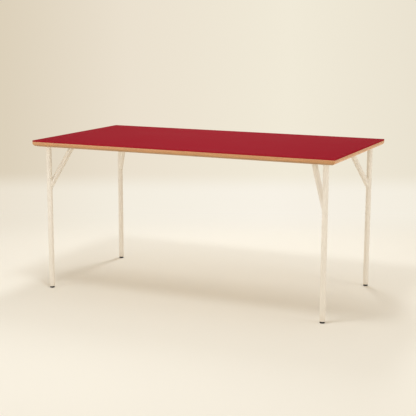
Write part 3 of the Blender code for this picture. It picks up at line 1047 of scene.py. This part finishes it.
lens = {
    "place": (1.9639, -4.3308, 1.2873), "turn": 24.512, "down": 10.629, "roll": 0.197,  # degrees
    "focal": 85.7614, "sensor": 36.0,
}
floorFinish = {
    "color": linear(243, 237, 224), "broad": (1.3, 0.01), "fine": (90.0, 0.006),
    "roughness": 0.8, "specular": 0.1,
}
studio = {
    "floorRadius": 5.2,
    "floorSides": 96,
    # where the floor begins to be shown evenly lit, and where it runs into the wall:
    # metres behind the table's centre, and metres from it in any direction
    "plainBehind": (0.95, 1.9),
    "plainAround": (2.2, 3.1),
    "wallBehind": (2.7, 3.85),
    "wallAround": (3.5, 4.5),
    "horizonStrength": 0.83,
    "zenithStrength": 0.5,
    "glowFrom": (-0.3, -0.2),  # light from further down would never reach the table
    "worldTone": (1.01, 0.915, 0.79, 1),
    "lampTone": (0.88, 0.96, 1.05),
    "toneSpread": 1.25,        # how far the tones below spread over the view
}
wallTones = [
    (0.25, linear(221, 209, 187)), (0.40, linear(235, 225, 207)), (0.60, linear(241, 234, 216)),
    (0.80, linear(233, 225, 207)),
]
farFloorTones = [
    (0.25, linear(236, 227, 210)), (0.40, linear(244, 238, 224)), (0.58, linear(248, 242, 230)),
    (0.75, linear(244, 238, 224)),
]


def shownTone(tree, direction, tones):
    # a tone that changes from left to right of the camera's view
    turn = radians(lens["turn"])
    across = vectorCalc(tree, "DOT_PRODUCT", direction, (cos(turn), sin(turn), 0), output="Value")
    fromLeft = calc(tree, "MULTIPLY_ADD", across, studio["toneSpread"], 0.5)
    ramp = addNode(tree, "ShaderNodeValToRGB", {"Fac": fromLeft})
    elements = ramp.color_ramp.elements
    elements[0].color, elements[1].color = tones[0][1], tones[-1][1]
    for place, color in tones:
        elements.new(place).color = color
    return ramp.outputs["Color"]


def directlySeen(tree):
    # 1 for what the camera sees, also in a gloss or through something clear
    rays = tree.nodes.new("ShaderNodeLightPath").outputs
    mirrored = calc(tree, "MAXIMUM", rays["Is Glossy Ray"], rays["Is Transmission Ray"])
    return calc(tree, "MAXIMUM", rays["Is Camera Ray"], mirrored)


def makeFloor(studio, finish):
    bm = bmesh.new()
    bmesh.ops.create_circle(bm, cap_ends=True, segments=studio["floorSides"], radius=studio["floorRadius"])
    floor = looseObject("studioFloor", meshFrom(bm, "studioFloor", recalculate=False))
    fixed = {"Roughness": finish["roughness"], "Specular IOR Level": finish["specular"]}
    material, tree, shader, place = newMaterial("studioFloor", fixed)
    tree.links.new(mottled(tree, place, finish)["Color"], shader["Base Color"])

    # far from the table the floor is shown evenly lit and then runs into the wall; from below it is clear
    turn = radians(lens["turn"])
    behind = vectorCalc(tree, "DOT_PRODUCT", place, (-sin(turn), cos(turn), 0), output="Value")
    around = vectorCalc(tree, "LENGTH", place, output="Value")

    def reached(behindRange, aroundRange):
        return calc(
            tree, "MAXIMUM", mapRange(tree, behind, *behindRange, 0.0, 1.0, smooth=True),
            mapRange(tree, around, *aroundRange, 0.0, 1.0, smooth=True),
        )

    direction = vectorCalc(tree, "NORMALIZE", vectorCalc(tree, "SUBTRACT", place, lens["place"]))
    farTone = shownTone(tree, direction, farFloorTones)
    seen = directlySeen(tree)
    near = addNode(tree, "ShaderNodeMixShader", {
        0: calc(tree, "MULTIPLY", reached(studio["plainBehind"], studio["plainAround"]), seen),
        1: tree.nodes["Principled BSDF"].outputs[0],
        2: addNode(tree, "ShaderNodeEmission", {"Color": farTone, "Strength": 1.0}).outputs[0],
    })
    below = calc(tree, "MULTIPLY", tree.nodes.new("ShaderNodeNewGeometry").outputs["Backfacing"], seen)
    far = addNode(tree, "ShaderNodeMixShader", {
        0: calc(tree, "MAXIMUM", reached(studio["wallBehind"], studio["wallAround"]), below),
        1: near.outputs[0],
        2: tree.nodes.new("ShaderNodeBsdfTransparent").outputs[0],
    })
    tree.links.new(far.outputs[0], tree.nodes["Material Output"].inputs["Surface"])
    floor.data.materials.append(material)


def makeWorld(studio):
    world = bpy.data.worlds.new("studioWorld")
    bpy.context.scene.world = world
    world.use_nodes = True
    tree = world.node_tree
    tree.nodes.clear()
    direction = tree.nodes.new("ShaderNodeTexCoord").outputs["Generated"]
    wallTone = shownTone(tree, direction, wallTones)
    rise = axesOf(tree, direction)["Z"]
    strength = between(tree, rise, studio["horizonStrength"], studio["zenithStrength"])
    lit = calc(tree, "MULTIPLY", strength, mapRange(tree, rise, *studio["glowFrom"], 0.0, 1.0))
    blend = addNode(tree, "ShaderNodeMixShader", {
        0: directlySeen(tree),
        1: addNode(tree, "ShaderNodeBackground", {"Color": studio["worldTone"], "Strength": lit}).outputs[0],
        2: addNode(tree, "ShaderNodeBackground", {"Color": wallTone, "Strength": 1.0}).outputs[0],
    })
    tree.links.new(blend.outputs[0], tree.nodes.new("ShaderNodeOutputWorld").inputs["Surface"])


softLamps = {  # size is across and along the way that the lamp faces
    "front": {"place": (0.12, -0.98, 2.93), "aim": (0.12, -0.2, 0.0), "size": (0.6, 0.6), "power": 20.0},
    "back": {"place": (-0.48, 1.75, 2.9), "aim": (-0.48, 0.2, 0.0), "size": (0.5, 1.7), "power": 31.0},
    "top": {"place": (0.0, 0.0, 4.5), "aim": (0.0, 0.0, 0.0), "size": (3.0, 3.0), "power": 16.0},
    "right": {"place": (5.2, -0.4, 1.9), "aim": (0.0, 0.0, 0.5), "size": (2.4, 2.4), "power": 47.0},
    "left": {"place": (-2.2, -3.1, 1.0), "aim": (-0.3, 0.0, 0.4), "size": (1.6, 1.6), "power": 17.0},
    "low": {"place": (0.2, -4.6, 1.1), "aim": (0.0, 0.0, 0.5), "size": (3.0, 2.0), "power": 17.0},
}


def makeLamps(lamps):
    for name, lamp in lamps.items():
        data = bpy.data.lights.new(name, "AREA")
        data.shape = "ELLIPSE"
        data.size, data.size_y = lamp["size"]
        data.energy = lamp["power"]
        data.color = studio["lampTone"]
        item = looseObject(f"{name}Lamp", data)
        place = Vector(lamp["place"])
        facing = (Vector(lamp["aim"]) - place).to_track_quat("-Z", "Y")
        item.matrix_world = Matrix.Translation(place) @ facing.to_matrix().to_4x4()


def makeCamera(lens):
    data = bpy.data.cameras.new("photoCamera")
    data.sensor_fit = "HORIZONTAL"
    data.sensor_width = lens["sensor"]
    data.lens = lens["focal"]
    camera = looseObject("photoCamera", data)
    camera.matrix_world = (
        Matrix.Translation(lens["place"])
        @ Matrix.Rotation(radians(lens["turn"]), 4, "Z")
        @ Matrix.Rotation(radians(90 - lens["down"]), 4, "X")
        @ Matrix.Rotation(radians(lens["roll"]), 4, "Z")
    )
    bpy.context.scene.camera = camera


makeFloor(studio, floorFinish)
makeWorld(studio)
makeLamps(softLamps)
makeCamera(lens)
bpy.context.scene.view_settings.view_transform = "Standard"
print("floor, light and camera made")

bpy.context.view_layer.update()
